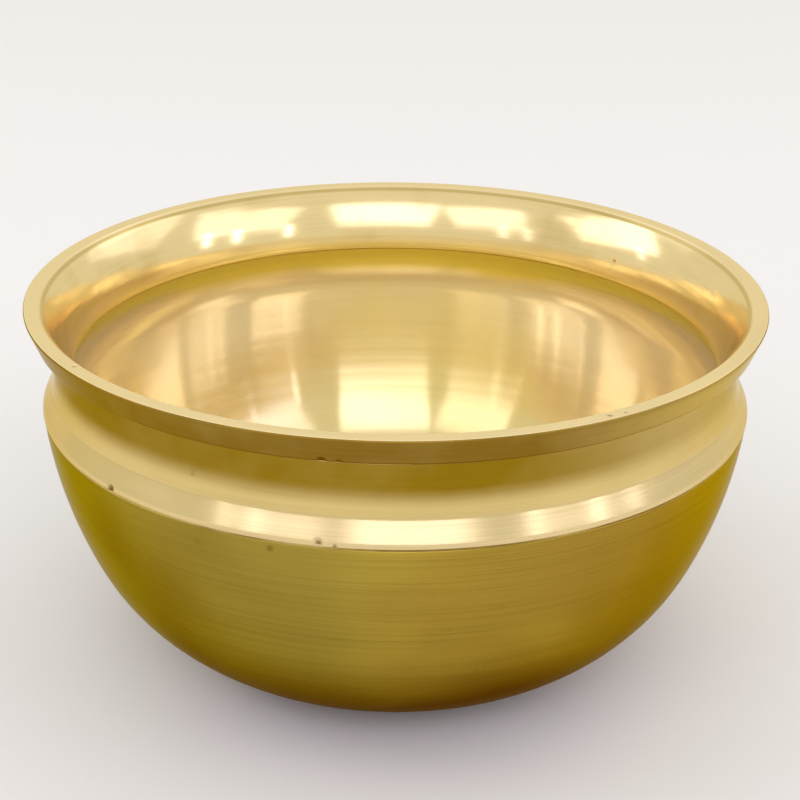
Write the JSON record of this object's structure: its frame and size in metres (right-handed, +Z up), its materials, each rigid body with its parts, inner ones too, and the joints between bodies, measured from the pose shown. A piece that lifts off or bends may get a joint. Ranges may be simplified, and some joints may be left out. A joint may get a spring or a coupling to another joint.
{
  "type": "brass cooking pot",
  "caption": "Wide-mouthed round-bottomed brass pot with a ridged belly, a coved shoulder collar and a thick flared mouth ring, open at the top and free-standing.",
  "frame": {"origin": "centre of the flat base, on the surface that the pot stands on", "axes": "+Z up along the axis of revolution; X and Y are level and equivalent"},
  "size_m": [0.25, 0.25, 0.13],
  "materials": {
    "bowl_brass": "satin turned brass with an olive-brown tone, darker and redder towards the base",
    "collar_brass": "satin turned brass",
    "mouth_brass": "bright turned brass, polished inside the flare",
    "brazing_metal": "dull darkened brazing metal"
  },
  "bodies": {
    "root": {"lower_bowl": "bowl_brass", "shoulder_collar": "collar_brass", "mouth_ring": "mouth_brass", "belly_braze": "brazing_metal", "neck_braze": "brazing_metal"}
  },
  "joints": []
}
